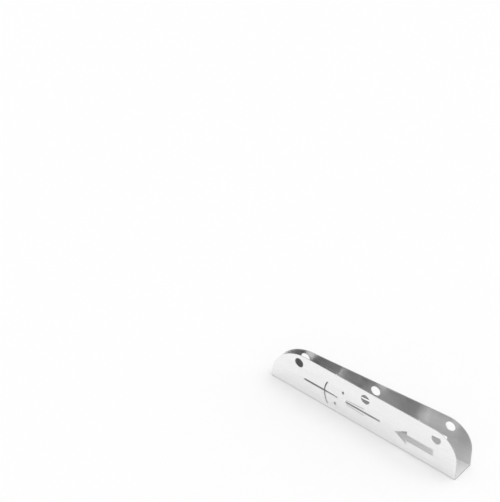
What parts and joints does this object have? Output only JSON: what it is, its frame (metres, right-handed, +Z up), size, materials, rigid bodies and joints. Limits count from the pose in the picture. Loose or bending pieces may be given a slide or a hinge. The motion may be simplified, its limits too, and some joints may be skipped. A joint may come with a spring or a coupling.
{
  "type": "bike stand",
  "caption": "Tapered stainless steel floor channel that wedges a bicycle wheel between upright plates with lock holes and a cut-out bicycle figure and arrow.",
  "frame": {"origin": "middle of the footprint on the floor", "axes": "+X from the nose to the wide entry end, +Z up, the near side plate on -Y"},
  "size_m": [0.6994, 0.082, 0.14],
  "materials": {
    "brushed_plate": "satin brushed along the plate",
    "floor_plate": "satin mill finish",
    "ground_weld": "ground and brushed weld"
  },
  "bodies": {
    "root": {"near_side_plate": "brushed_plate", "far_side_plate": "brushed_plate", "base_plate": "floor_plate", "near_corner_weld": "ground_weld", "far_corner_weld": "ground_weld"}
  },
  "joints": []
}
